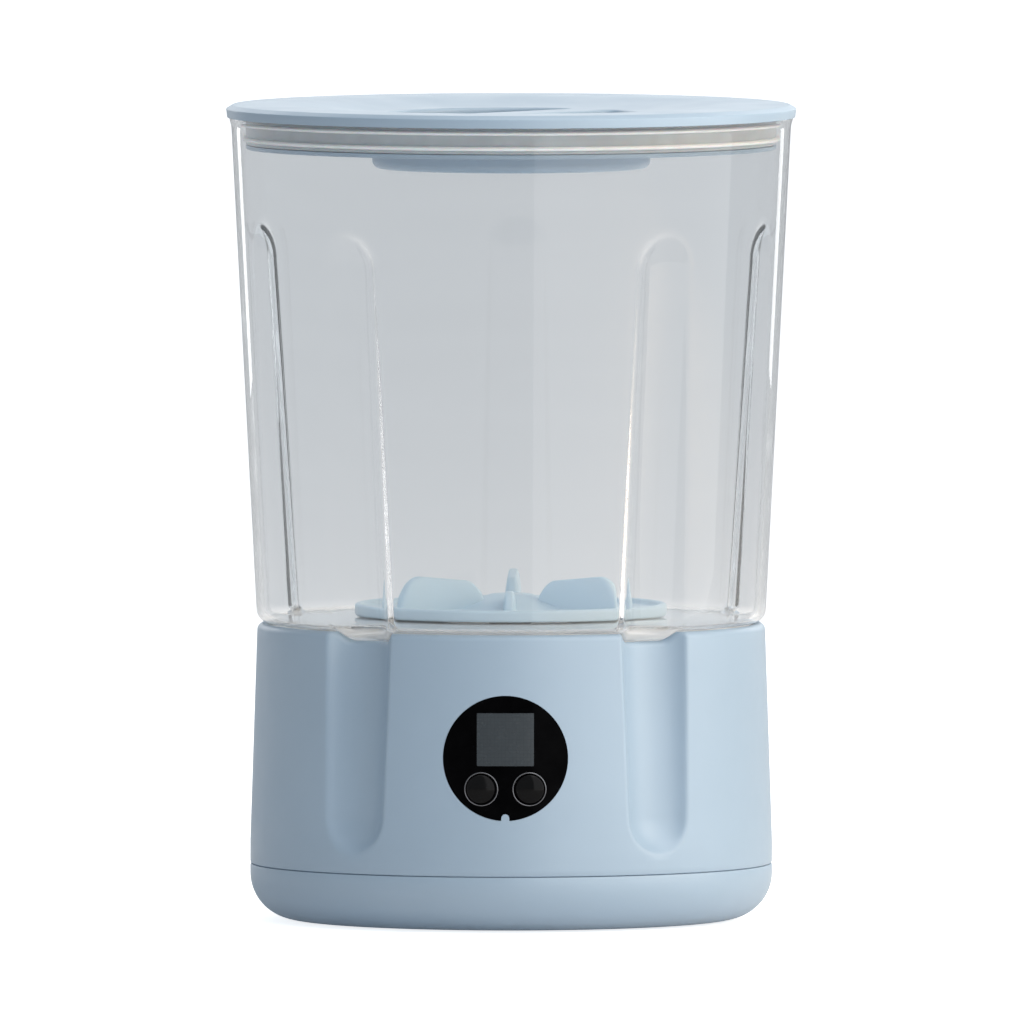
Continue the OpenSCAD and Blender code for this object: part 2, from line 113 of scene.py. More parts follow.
DISH_START, DISH_END = 34.5, 57.0  # where the lid's top rises from its middle to its edge
DISH_LOW = RIM + 0.4  # height of the lid's top in its middle
LID_SEGMENTS = 256
GRIP_ANGLE = math.radians(50)
BUTTON_X, BUTTON_Z, BUTTON_R = 6.0, 36.2, 3.7
METERING_R = 42.4  # opening in the deck for the metering housing
DUCT_W = 30.0  # width of the feed duct
INLET_DIR = 42  # direction of the power inlet, in degrees
FOOT_DIRS, FOOT_CIRCLE_R, FOOT_R = (-45, 45, 135, 225), 38, 6.0
COLUMN_DIRS, COLUMN_CIRCLE_R = (-18, 60, 120, 198), 50
SCREEN_X, SCREEN_Z = 7.1, (41.95, 55.1)


# ------------------------------------------------------------------ mesh helpers


def smoothstep(t):
    t = np.clip(t, 0, 1)
    return t * t * (3 - 2 * t)


def finish_mesh(mesh, sharp=40):
    """Cleans a mesh and shades it smooth, keeping edges sharper than the given angle."""
    bm = bmesh.new()
    bm.from_mesh(mesh)
    bmesh.ops.remove_doubles(bm, verts=bm.verts, dist=1e-7)
    bmesh.ops.dissolve_degenerate(bm, dist=1e-8, edges=bm.edges)
    bmesh.ops.recalc_face_normals(bm, faces=bm.faces)
    bm.to_mesh(mesh)
    bm.free()
    mesh.shade_smooth()
    mesh.set_sharp_from_angle(angle=math.radians(sharp))
    mesh.update()


def new_object(name, verts, faces, sharp=40):
    """A mesh object from vertices in millimetres."""
    mesh = bpy.data.meshes.new(name)
    mesh.from_pydata((np.asarray(verts, float) * MM).tolist(), [], faces)
    mesh.update()
    finish_mesh(mesh, sharp)
    obj = bpy.data.objects.new(name, mesh)
    bpy.context.scene.collection.objects.link(obj)
    return obj


def join(name, parts, sharp=40):
    """One object out of several, with their meshes merged as they are."""
    bm = bmesh.new()
    for part in parts:
        bm.from_mesh(part.data)
    mesh = bpy.data.meshes.new(name)
    bm.to_mesh(mesh)
    bm.free()
    for part in parts:
        bpy.data.objects.remove(part)
    mesh.shade_smooth()
    mesh.set_sharp_from_angle(angle=math.radians(sharp))
    obj = bpy.data.objects.new(name, mesh)
    bpy.context.scene.collection.objects.link(obj)
    return obj


def boolean(obj, cutter, how="DIFFERENCE", sharp=40):
    """Applies a boolean with a closed cutter to obj, and removes the cutter."""
    mod = obj.modifiers.new("cut", "BOOLEAN")
    mod.operation = how
    mod.solver = "MANIFOLD"
    mod.object = cutter
    dg = bpy.context.evaluated_depsgraph_get()
    mesh = bpy.data.meshes.new_from_object(obj.evaluated_get(dg), depsgraph=dg)
    obj.modifiers.remove(mod)
    old = obj.data
    obj.data = mesh
    bpy.data.meshes.remove(old)
    bpy.data.objects.remove(cutter)
    mesh.shade_smooth()
    mesh.set_sharp_from_angle(angle=math.radians(sharp))
    return obj


def grid_faces(rows, columns, wrap_rows):
    """Quads between closed rows of points, and between the last row and the first if asked."""
    faces = []
    for i in range(rows if wrap_rows else rows - 1):
        a, b = i * columns, (i + 1) % rows * columns
        for j in range(columns):
            k = (j + 1) % columns
            faces.append((a + j, a + k, b + k, b + j))
    return faces


def rounded(corners, steps=5):
    """An outline from corners (a, b, radius), each rounded by an arc of its radius."""
    out = []
    count = len(corners)
    for i, (x, y, radius) in enumerate(corners):
        p = np.array([x, y], float)
        if radius <= 0:
            out.append(p)
            continue
        a = np.array(corners[i - 1][:2], float) - p
        b = np.array(corners[(i + 1) % count][:2], float) - p
        la, lb = np.linalg.norm(a), np.linalg.norm(b)
        a, b = a / la, b / lb
        half = math.acos(max(-1.0, min(1.0, float(a @ b)))) / 2
        reach = min(radius / math.tan(half), 0.49 * la, 0.49 * lb)
        radius = reach * math.tan(half)
        centre = p + (a + b) / np.linalg.norm(a + b) * radius / math.sin(half)
        start, end = p + a * reach - centre, p + b * reach - centre
        sweep = math.pi - 2 * half
        for k in range(steps + 1):
            t = k / steps
            w0, w1 = math.sin((1 - t) * sweep), math.sin(t * sweep)
            out.append(centre + (w0 * start + w1 * end) / math.sin(sweep))
    return np.array(out)


def arc(centre, radius, start, end, count):
    """Points of a circular arc between two angles in degrees."""
    angles = np.radians(np.linspace(start, end, count))
    return [(centre[0] + radius * math.cos(a), centre[1] + radius * math.sin(a)) for a in angles]


def panel(x, low, high, bottom, top, steps=5):
    """A rectangle from -x to x, with one radius for its bottom corners and one for its top corners."""
    return rounded([(-x, low, bottom), (x, low, bottom), (x, high, top), (-x, high, top)], steps)


def spans(*ranges):
    """Numbers from several ranges of (start, end, step)."""
    return np.concatenate([np.arange(*r) for r in ranges])


def polar(direction, distance):
    """A point at floor level, from a direction in degrees."""
    a = math.radians(direction)
    return (distance * math.cos(a), distance * math.sin(a), 0)


def lathe(name, outline, segments=256, closed=True, sharp=40):
    """Turns an outline of (radius, height) about Z."""
    outline = np.asarray(outline, float)
    angles = np.linspace(0, 2 * math.pi, segments, endpoint=False)
    ring = np.stack([np.cos(angles), np.sin(angles)], 1)
    verts = [np.column_stack([ring * r, np.full(segments, z)]) for r, z in outline]
    return new_object(
        name,
        np.concatenate(verts),
        grid_faces(len(outline), segments, closed),
        sharp,
    )


def place(obj, move):
    """Moves a mesh, in millimetres."""
    for v in obj.data.vertices:
        v.co += Vector(move) * MM
    obj.data.update()
    return obj


def facing_front(obj, x, z):
    """Lays a lathed piece, turned about +Z, so that its axis points to -Y, at x and z."""
    for v in obj.data.vertices:
        px, py, pz = v.co
        v.co = Vector((px + x * MM, -pz, py + z * MM))
    obj.data.update()
    bm = bmesh.new()
    bm.from_mesh(obj.data)
    bmesh.ops.recalc_face_normals(bm, faces=bm.faces)
    bm.to_mesh(obj.data)
    bm.free()
    return obj


def turn_about_z(obj, angle):
    c, s = math.cos(angle), math.sin(angle)
    for v in obj.data.vertices:
        x, y, z = v.co
        v.co = Vector((c * x - s * y, s * x + c * y, z))
    obj.data.update()
    return obj


def prism(name, outline, y0, y1, sharp=40):
    """A solid from an outline of (x, z), between two depths along Y."""
    count = len(outline)
    verts = [(x, y0, z) for x, z in outline] + [(x, y1, z) for x, z in outline]
    faces = [tuple(range(count)), tuple(range(2 * count - 1, count - 1, -1))]
    faces += [
        (i, (i + 1) % count, count + (i + 1) % count, count + i) for i in range(count)
    ]
    return new_object(name, verts, faces, sharp)


# ------------------------------------------------------------------ the fluted walls

FLUTE_DIRS = math.pi / 2 + 2 * math.pi * np.arange(FLUTE_COUNT) / FLUTE_COUNT


def flute_angles(fine=0.45, coarse=1.6, half_width=15.0):
    """Angles round the axis, closer together across each flute."""
    pitch = 360 / FLUTE_COUNT
    dense = np.arange(-half_width, half_width, fine)
    count = int((pitch - 2 * half_width) / coarse)
    wide = np.linspace(half_width, pitch - half_width, count, endpoint=False)
    one = np.concatenate([dense, wide])
    return np.concatenate([np.radians(one) + d for d in FLUTE_DIRS])


class Wall:
    """A round wall of radius body(z) with round-bottomed flutes sunk into it. Each flute is a leaning
    trough whose axis is axis(z) from the wall's axis, closed by a ball at low or high."""

    def __init__(self, body, axis, low=None, high=None, radius=FLUTE_R, edge=EDGE):
        self.body = body
        self.axis = axis
        self.low = low
        self.high = high
        self.radius = radius
        self.edge = edge

    def at(self, angles, z):
        """Radius of the wall at each angle, for one height or a height for each angle."""
        z = np.broadcast_to(np.asarray(z, float), angles.shape)
        off = (angles[:, None] - FLUTE_DIRS[None, :] + math.pi) % (2 * math.pi) - math.pi
        nearest = np.abs(off).argmin(1)
        phi = off[np.arange(len(angles)), nearest]
        low = -1e3 if self.low is None else np.asarray(self.low)[nearest]
        high = 1e3 if self.high is None else np.asarray(self.high)[nearest]
        held = np.clip(z, low, high)
        beyond = z - held
        distance = self.axis(held)
        body = self.body(z)
        near, far = body - 12.0, body + 0.6
        for _ in range(34):
            r = (near + far) / 2
            gap = np.sqrt(r**2 + distance**2 - 2 * r * distance * np.cos(phi) + beyond**2)
            a, b = r - body, self.radius - gap
            h = np.clip(self.edge - np.abs(a - b), 0, None) / self.edge
            outside = np.maximum(a, b) + h * h * self.edge / 4 > 0
            far = np.where(outside, r, far)
            near = np.where(outside, near, r)
        return (near + far) / 2


def hopper_body(z):
    return HOPPER_FOOT_R + HOPPER_DRAFT * (z - 77.5)


def base_body(z):
    return BASE_R + (BASE_TOP_R - BASE_R) * np.maximum(0, (z - 20) / (BASE_TOP - RIM_ROUND - 20))


def hopper_axis(z):
    return 69.9 + (77.2 - 69.9) * (z - 65) / (FLUTE_TOP - 65)


def base_axis(z):
    return 72.4 + (69.1 - 72.4) * (z - 29) / (78 - 29)


hopper_outer = Wall(hopper_body, hopper_axis, high=[FLUTE_TOP] * FLUTE_COUNT)
hopper_inner = Wall(
    lambda z: hopper_body(z) - HOPPER_WALL,
    hopper_axis,
    high=[FLUTE_TOP] * FLUTE_COUNT,
    radius=FLUTE_R + HOPPER_WALL,
    edge=EDGE * 1.8,
)
BASE_FLUTE_LOW = [57.0] + [29.0] * (FLUTE_COUNT - 1)  # the back flute ends above the outlet
base_outer = Wall(base_body, base_axis, low=BASE_FLUTE_LOW)
base_inner = Wall(
    lambda z: base_body(z) - BASE_WALL,
    base_axis,
    low=BASE_FLUTE_LOW,
    radius=FLUTE_R + BASE_WALL,
    edge=EDGE * 1.8,
)


def wall_object(name, angles, rows, sharp=40):
    """A closed skin from rows of (radius, height), each one number or one for each angle."""
    ring = np.stack([np.cos(angles), np.sin(angles)], 1)
    verts = []
    for r, z in rows:
        r = np.broadcast_to(r, angles.shape)
        z = np.broadcast_to(z, angles.shape)
        verts.append(np.column_stack([ring * r[:, None], z]))
    return new_object(name, np.concatenate(verts), grid_faces(len(rows), len(angles), True), sharp)


def joint_line(angles):
    """How deep each angle is in a flute, from 0 to 1, and the hopper's radius there."""
    foot = hopper_outer.at(angles, 76.0)
    depth = smoothstep((hopper_body(76.0) - foot) / 3.6)
    return depth, hopper_outer.at(angles, 77.5)


# ------------------------------------------------------------------ materials


def noise(tree, scale, detail=3, roughness=0.5, stretch=None):
    coordinates = tree.nodes.new("ShaderNodeTexCoord")
    source = coordinates.outputs["Object"]
    if stretch is not None:
        mapping = tree.nodes.new("ShaderNodeMapping")
        mapping.inputs["Scale"].default_value = stretch
        tree.links.new(source, mapping.inputs["Vector"])
        source = mapping.outputs["Vector"]
    texture = tree.nodes.new("ShaderNodeTexNoise")
    texture.inputs["Scale"].default_value = scale
    texture.inputs["Detail"].default_value = detail
    texture.inputs["Roughness"].default_value = roughness
    tree.links.new(source, texture.inputs["Vector"])
    return texture.outputs["Fac"]


def ramp(tree, source, low, high, start=0.3, end=0.7):
    """Maps a pattern to a range of values."""
    node = tree.nodes.new("ShaderNodeMapRange")
    node.inputs["From Min"].default_value = start
    node.inputs["From Max"].default_value = end
    node.inputs["To Min"].default_value = low
    node.inputs["To Max"].default_value = high
    tree.links.new(source, node.inputs["Value"])
    return node.outputs["Result"]


def two_tone(tree, source, dark, light):
    node = tree.nodes.new("ShaderNodeValToRGB")
    node.color_ramp.elements[0].position = 0.3
    node.color_ramp.elements[1].position = 0.7
    node.color_ramp.elements[0].color = (*dark, 1)
    node.color_ramp.elements[1].color = (*light, 1)
    tree.links.new(source, node.inputs["Fac"])
    return node.outputs["Color"]


def bump(tree, source, height, strength=1.0, under=None):
    node = tree.nodes.new("ShaderNodeBump")
    node.inputs["Strength"].default_value = strength
    node.inputs["Distance"].default_value = height
    tree.links.new(source, node.inputs["Height"])
    if under is not None:
        tree.links.new(under, node.inputs["Normal"])
    return node.outputs["Normal"]


def material(name, **sockets):
    """A Principled material with constant sockets set directly. Returns it, its tree and its shader."""
    mat = bpy.data.materials.new(name)
    mat.use_nodes = True
    tree = mat.node_tree
    shader = tree.nodes["Principled BSDF"]
    for key, value in sockets.items():
        shader.inputs[key.replace("_", " ")].default_value = value
    return mat, tree, shader


def moulded(name, colour, rough=0.38, vary=0.03, grain=0.00003, grain_scale=2600, **sockets):
    """Moulded plastic: fine spark-eroded grain, slow flow variation of tone and gloss."""
    mat, tree, shader = material(name, **sockets)
    slow = noise(tree, 22, 4)
    dark = tuple(c * (1 - vary) for c in colour)
    light = tuple(min(1, c * (1 + vary)) for c in colour)
    tree.links.new(two_tone(tree, slow, dark, light), shader.inputs["Base Color"])
    tree.links.new(ramp(tree, noise(tree, 70, 5), rough * 0.9, rough * 1.12), shader.inputs["Roughness"])
    fine = bump(tree, noise(tree, grain_scale, 2), grain, 0.35)
    tree.links.new(fine, shader.inputs["Normal"])
    return mat


def brushed(name, colour, rough=0.28, stretch=(60, 60, 4000), **sockets):
    """Metal with fine drawn or turned lines."""
    mat, tree, shader = material(name, Metallic=1.0, **sockets)
    lines = noise(tree, 1, 5, 0.6, stretch)
    dark = tuple(c * 0.86 for c in colour)
    tree.links.new(two_tone(tree, lines, dark, colour), shader.inputs["Base Color"])
    tree.links.new(ramp(tree, lines, rough * 0.75, rough * 1.3), shader.inputs["Roughness"])
    tree.links.new(bump(tree, lines, 0.00001, 0.4), shader.inputs["Normal"])
    return mat


def gloss_black(name, colour=(0.0006, 0.0006, 0.0008), rough=0.08, gloss=0.03):
    """Polished black plastic with faint handling haze and hairline polish marks."""
    mat, tree, shader = material(name, IOR=1.49, Specular_IOR_Level=gloss)
    haze = noise(tree, 160, 6, 0.65)
    light = tuple(c * 1.7 + 0.001 for c in colour)
    tree.links.new(two_tone(tree, haze, colour, light), shader.inputs["Base Color"])
    tree.links.new(ramp(tree, haze, rough * 0.6, rough * 1.6), shader.inputs["Roughness"])
    tree.links.new(bump(tree, noise(tree, 900, 3), 0.000004, 0.3), shader.inputs["Normal"])
    return mat


def clear_plastic(name):
    """Clear moulded plastic, made pale and partly opaque at the foot as painted light over the dark gap
    shade there. It bends light only a little, so its edges stay light.
    """
    mat, tree, shader = material(name, IOR=1.12, Coat_Weight=0.6, Coat_Roughness=0.02)
    flow = noise(tree, 14, 3, 0.5, (1, 1, 0.35))
    tint = two_tone(tree, flow, (0.975, 0.985, 0.992), (0.985, 0.992, 0.998))
    tree.links.new(tint, shader.inputs["Base Color"])
    tree.links.new(ramp(tree, noise(tree, 90, 4), 0.012, 0.03), shader.inputs["Roughness"])
    tree.links.new(bump(tree, flow, 0.00025, 0.35), shader.inputs["Normal"])
    coordinates = tree.nodes.new("ShaderNodeTexCoord")
    height = tree.nodes.new("ShaderNodeSeparateXYZ")
    tree.links.new(coordinates.outputs["Object"], height.inputs["Vector"])
    # transmission falls towards the foot so its pale tint shows: painted light covering the dark joint
    # shade
    foot_painted_light = ramp(tree, height.outputs["Z"], FOOT_PAINTED_LIGHT_CLARITY, 1.0, FOOT_PAINTED_LIGHT_LOW * MM, FOOT_PAINTED_LIGHT_HIGH * MM)
    tree.links.new(foot_painted_light, shader.inputs["Transmission Weight"])
    through = tree.nodes.new("ShaderNodeBsdfTransparent")
    through.inputs["Color"].default_value = (0.985, 0.99, 0.993, 1)
    path = tree.nodes.new("ShaderNodeLightPath")
    mix = tree.nodes.new("ShaderNodeMixShader")
    tree.links.new(path.outputs["Is Shadow Ray"], mix.inputs["Fac"])
    tree.links.new(shader.outputs["BSDF"], mix.inputs[1])
    tree.links.new(through.outputs["BSDF"], mix.inputs[2])
    tree.links.new(mix.outputs["Shader"], tree.nodes["Material Output"].inputs["Surface"])
    return mat


def silicone(name, dark, light):
    """Soft translucent silicone with a dusty sheen."""
    mat, tree, shader = material(
        name,
        Subsurface_Weight=0.35,
        Subsurface_Scale=0.002,
        IOR=1.41,
        Sheen_Weight=0.15,
    )
    dust = noise(tree, 240, 5, 0.6)
    tree.links.new(two_tone(tree, dust, dark, light), shader.inputs["Base Color"])
    tree.links.new(ramp(tree, dust, 0.32, 0.5), shader.inputs["Roughness"])
    tree.links.new(bump(tree, noise(tree, 1800, 3), 0.00003, 0.3), shader.inputs["Normal"])
    return mat


def screen_glass(name):
    """A switched-off display: dark grey polariser with a fine cell grid under gloss glass."""
    mat, tree, shader = material(
        name,
        Coat_Weight=0.12,
        Coat_Roughness=0.05,
        IOR=1.5,
        Specular_IOR_Level=0.2,
    )
    coordinates = tree.nodes.new("ShaderNodeTexCoord")
    cells = tree.nodes.new("ShaderNodeTexBrick")
    cells.offset = 0.0
    cells.inputs["Scale"].default_value = 1.0
    cells.inputs["Brick Width"].default_value = 0.0009
    cells.inputs["Row Height"].default_value = 0.0009
    cells.inputs["Mortar Size"].default_value = 0.00004
    cells.inputs["Color1"].default_value = (0.032, 0.040, 0.047, 1)
    cells.inputs["Color2"].default_value = (0.035, 0.043, 0.050, 1)
    cells.inputs["Mortar"].default_value = (0.026, 0.033, 0.040, 1)
    mapping = tree.nodes.new("ShaderNodeMapping")
    mapping.inputs["Rotation"].default_value = (math.pi / 2, 0, 0)
    tree.links.new(coordinates.outputs["Object"], mapping.inputs["Vector"])
    tree.links.new(mapping.outputs["Vector"], cells.inputs["Vector"])
    tree.links.new(cells.outputs["Color"], shader.inputs["Base Color"])
    tree.links.new(ramp(tree, noise(tree, 300, 3), 0.22, 0.3), shader.inputs["Roughness"])
    return mat


def circuit_board(name):
    """Green solder mask with a fine copper track pattern under it."""
    mat, tree, shader = material(name, Coat_Weight=0.4, Coat_Roughness=0.15)
    tracks = tree.nodes.new("ShaderNodeTexVoronoi")
    tracks.distance = "MANHATTAN"
    tracks.feature = "DISTANCE_TO_EDGE"
    tracks.inputs["Scale"].default_value = 420
    coordinates = tree.nodes.new("ShaderNodeTexCoord")
    tree.links.new(coordinates.outputs["Object"], tracks.inputs["Vector"])
    edge = ramp(tree, tracks.outputs["Distance"], 0, 1, 0.04, 0.1)
    mask = two_tone(tree, edge, (0.03, 0.20, 0.10), (0.012, 0.10, 0.05))
    tree.links.new(mask, shader.inputs["Base Color"])
    tree.links.new(ramp(tree, noise(tree, 200, 3), 0.3, 0.45), shader.inputs["Roughness"])
    tree.links.new(bump(tree, edge, 0.00003, 0.3), shader.inputs["Normal"])
    return mat


BLUE = (0.27, 0.365, 0.465)
STIRRER_PAINTED_LIT_BLUE = (0.56, 0.71, 0.82)  # the body blue painted lighter for the stirrer, as painted light for the light that reaches inside the hopper
MATERIALS = {
    "body_blue": moulded("blue_moulded_plastic", BLUE, 0.40, Specular_IOR_Level=0.85),
    # the seal's band; its ribs use a near-white copy of this silicone as painted highlight
    "seal_silicone": silicone("seal_silicone", (0.36, 0.39, 0.42), (0.42, 0.46, 0.49)),
    "washer_white": moulded("washer_felt", (0.80, 0.80, 0.77), 0.8, 0.06, 0.0001, 1500),
    "clear_plastic": clear_plastic("clear_moulded_plastic"),
    "white_plastic": moulded("white_moulded_plastic", (0.80, 0.81, 0.82), 0.4),
    "grey_plastic": moulded("grey_moulded_plastic", (0.60, 0.62, 0.64), 0.45),
    "steel": brushed("turned_steel", (0.62, 0.62, 0.63)),
    "dark_plastic": moulded("dark_moulded_plastic", (0.03, 0.03, 0.033), 0.42, 0.12),
    "bronze": brushed("sintered_bronze", (0.66, 0.46, 0.24), 0.38, (900, 900, 900)),
    "gear_plastic": moulded("gear_acetal", (0.78, 0.77, 0.70), 0.3),
    "motor_can": brushed("plated_motor_can", (0.60, 0.61, 0.62), 0.3, (50, 50, 2500)),
    "plate_aluminium": brushed("rolled_aluminium", (0.72, 0.73, 0.75), 0.34, (2500, 60, 60)),
    "foot_rubber": moulded("foot_rubber", (0.035, 0.035, 0.037), 0.75, 0.15, 0.00008, 1600),
    "window_black": gloss_black("gloss_black_plastic", gloss=0.012),
    "screen_glass": screen_glass("switched_off_screen"),
    "module_plastic": moulded("module_plastic", (0.10, 0.11, 0.11), 0.5),
    "ring_metal": brushed("polished_ring", (0.16, 0.16, 0.17), 0.2, (700, 700, 700)),
    "board_green": circuit_board("green_circuit_board"),
    "cell_wrap": moulded("cell_wrap", (0.05, 0.17, 0.36), 0.22, 0.08),
}


# the stirrer's copy of the body blue, painted lighter as painted light inside the hopper
STIRRER_PAINTED_LIT_PLASTIC = moulded("blue_plastic_painted_lit", STIRRER_PAINTED_LIT_BLUE, 0.35, Specular_IOR_Level=0.7)
BUTTON_BLACK = gloss_black("button_black", rough=0.12, gloss=0.12)
# the seal's silicone painted near white on the ribs, as painted highlight along their rounded crests
PAINTED_HIGHLIGHT_RIBS = silicone("seal_rib_painted_highlight", (0.80, 0.81, 0.82), (0.88, 0.89, 0.90))


def dress(obj, slot, body, *nodes, look=None):
    """Gives a piece the material of its slot, or another look, lets it ride on a body and stand for CAD
    nodes.
    """
    obj.data.materials.clear()
    obj.data.materials.append(look or MATERIALS[slot])
    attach(obj, body)
    if nodes:
        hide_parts(*nodes)
    return obj


# ------------------------------------------------------------------ hopper


def hopper_outside(angles, heights):
    """Rows up the outside of the wall, from the foot that drops into the base's rim."""
    depth, wall = joint_line(angles)
    foot = wall - FOOT_STEP
    shoulder = SHOULDER - DIP * depth
    rows = [(foot, DECK), (foot, DECK + 0.25), (foot, shoulder - SHOULDER_R * math.sin(math.radians(80)))]
    for a in np.radians(np.arange(-72, 1, 12)):
        rows.append((wall - SHOULDER_R + SHOULDER_R * np.cos(a), shoulder + SHOULDER_R * np.sin(a)))
    for t in np.linspace(0.12, 1, 8):
        z = shoulder + (LEVEL - shoulder) * t
        rows.append((hopper_outer.at(angles, z), z))
    return rows + [(hopper_outer.at(angles, z), z) for z in heights]


def hopper_lip():
    """Rows round the rim, which turns out a little under the lid."""
    lip = HOPPER_RIM_R + 0.6
    inside = hopper_body(RIM) - HOPPER_WALL
    return [
        (hopper_body(RIM - 3.5), RIM - 3.5),
        (hopper_body(RIM - 2.6) + 0.05, RIM - 2.6),
        (lip - 0.25, RIM - 1.1),
        (lip, RIM - 0.45),
        (lip - 0.12, RIM - 0.12),
        (lip - 0.45, RIM),
        (inside + 0.45, RIM),
        (inside + 0.1, RIM - 0.15),
        (inside - 0.05, RIM - 0.6),
    ]


def hopper_inside(angles, heights):
    """Rows down the inside, over the floor to its middle hole, and back under it to the foot."""
    foot = joint_line(angles)[1] - FOOT_STEP
    start = FLOOR + FLOOR_FILLET
    rows = [(hopper_inner.at(angles, z), z) for z in heights[::-1]]
    for t in np.linspace(1, 0, 6):
        z = start + (LEVEL - start) * t
        rows.append((hopper_inner.at(angles, z), z))
    corner = hopper_inner.at(angles, start) - FLOOR_FILLET
    for a in np.radians(np.arange(-15, -91, -15)):
        rows.append((corner + FLOOR_FILLET * np.cos(a), start + FLOOR_FILLET * np.sin(a)))
    rows += [(r, FLOOR) for r in (50, 42, 30, 15)]
    rows += [(7.3, FLOOR), (7.05, FLOOR - 0.25), (7.05, DECK + 0.6), (39, DECK + 0.3), (39, FLOOR - 2.2)]
    return rows + [(foot - HOPPER_WALL, FLOOR - 2.2), (foot - HOPPER_WALL, DECK)]


def make_hopper():
    """The clear hopper, with an opening in its floor that lets the feed through."""
    angles = flute_angles()
    heights = spans((90, 156, 5.0), (158, 177, 0.8), (180, RIM - 4, 5.0))
    rows = hopper_outside(angles, heights) + hopper_lip() + hopper_inside(angles, heights)
    hopper = wall_object("hopper_shell", angles, rows, 50)
    opening = sector_prism("hopper_opening", -90, 26, 12, 36, DECK - 1, FLOOR + 1)
    boolean(hopper, opening, sharp=50)
    return dress(hopper, "clear_plastic", "hopper", "hopper")


def sector_prism(name, direction, half_angle, r_in, r_out, z0, z1, steps=24):
    """A solid ring sector centred on a direction in degrees."""
    angles = np.radians(np.linspace(direction - half_angle, direction + half_angle, steps))
    outline = [(r_out * math.cos(a), r_out * math.sin(a)) for a in angles]
    outline += [(r_in * math.cos(a), r_in * math.sin(a)) for a in angles[::-1]]
    count = len(outline)
    verts = [(x, y, z0) for x, y in outline] + [(x, y, z1) for x, y in outline]
    faces = [tuple(range(count - 1, -1, -1)), tuple(range(count, 2 * count))]
    faces += [(i, (i + 1) % count, count + (i + 1) % count, count + i) for i in range(count)]
    return new_object(name, verts, faces)


# ------------------------------------------------------------------ base


def display_outline(radius, notch):
    """Circle with a small round-headed notch at the bottom, or a matching tab."""
    half = 1.0
    start = math.asin(half / radius)
    angles = np.linspace(-math.pi / 2 + start, 1.5 * math.pi - start, 140)
    points = [(radius * math.cos(a), WINDOW_Z + radius * math.sin(a)) for a in angles]
    top = WINDOW_Z - radius + notch
    for a in np.linspace(math.pi, 0, 9):
        points.append((half * math.cos(a), top - half + half * math.sin(a)))
    return points


def base_outside(angles, top):
    """Rows up the outside of the base, and the radius where its rounded top edge ends."""
    seam_r = base_outer.at(angles, SEAM + 1)
    rows = [(seam_r - 0.45, SEAM + 0.02), (seam_r - 0.12, SEAM + 0.16), (seam_r, SEAM + 0.5)]
    heights = spans((16, 19, 1.5), (19, 31, 0.8), (32, 45, 3.0), (46, 60, 1.2))
    rows += [(base_outer.at(angles, z), z) for z in heights]
    for t in np.linspace(0.1, 1, 9):
        z = 60 + (top - RIM_ROUND - 60) * t
        rows.append((base_outer.at(angles, z), z))
    edge = base_outer.at(angles, top - RIM_ROUND) - RIM_ROUND
    for a in np.radians(np.arange(10, 91, 10)):
        rows.append((edge + RIM_ROUND * np.cos(a), top - RIM_ROUND + RIM_ROUND * np.sin(a)))
    return rows, edge


def base_inside(angles, inner, top):
    """Rows down inside the rim, across the deck to its opening, and down the inside of the wall."""
    deck, under = DECK - 0.03, DECK - BASE_WALL
    rows = [(inner, top - 0.15), (inner, deck + 0.15), (inner - 0.2, deck), (48, deck)]
    rows += [(METERING_R + 0.3, deck), (METERING_R, deck - 0.3), (METERING_R, under), (50, under)]
    heights = (under, 62, 56, 50, 44, 35, 28, 24, 20, SEAM + 0.02)
    return rows + [(base_inner.at(angles, z), z) for z in heights]


def cut_openings(housing):
    """Cuts the holes for the display, the outlet spout and the power inlet."""
    boolean(housing, prism("display_hole", display_outline(WINDOW_R + 0.08, 1.7), -75, -50), sharp=45)
    slot = panel(SPOUT_HIGH[0] + 0.1, SEAM - 2, SPOUT_HIGH[2] + 0.1, 0, 2.5)
    boolean(housing, prism("spout_hole", slot, 52, 75), sharp=45)
    port = prism("port_hole", panel(4.7, 22, 25.6, 1.7, 1.7, 8), 50, 70)
    boolean(housing, turn_about_z(port, math.radians(INLET_DIR - 90)), sharp=45)


def make_base():
    """The fluted housing, whose top edge dips in each flute."""
    angles = flute_angles()
    depth, wall = joint_line(angles)
    top = BASE_TOP + RIM_LIFT - DIP * depth
    outside, edge = base_outside(angles, top)
    inner = np.minimum(wall - FOOT_STEP + FOOT_GAP, edge)
    housing = wall_object("base_shell", angles, outside + base_inside(angles, inner, top), 45)
    cut_openings(housing)
    return dress(housing, "body_blue", "base", "base_housing")


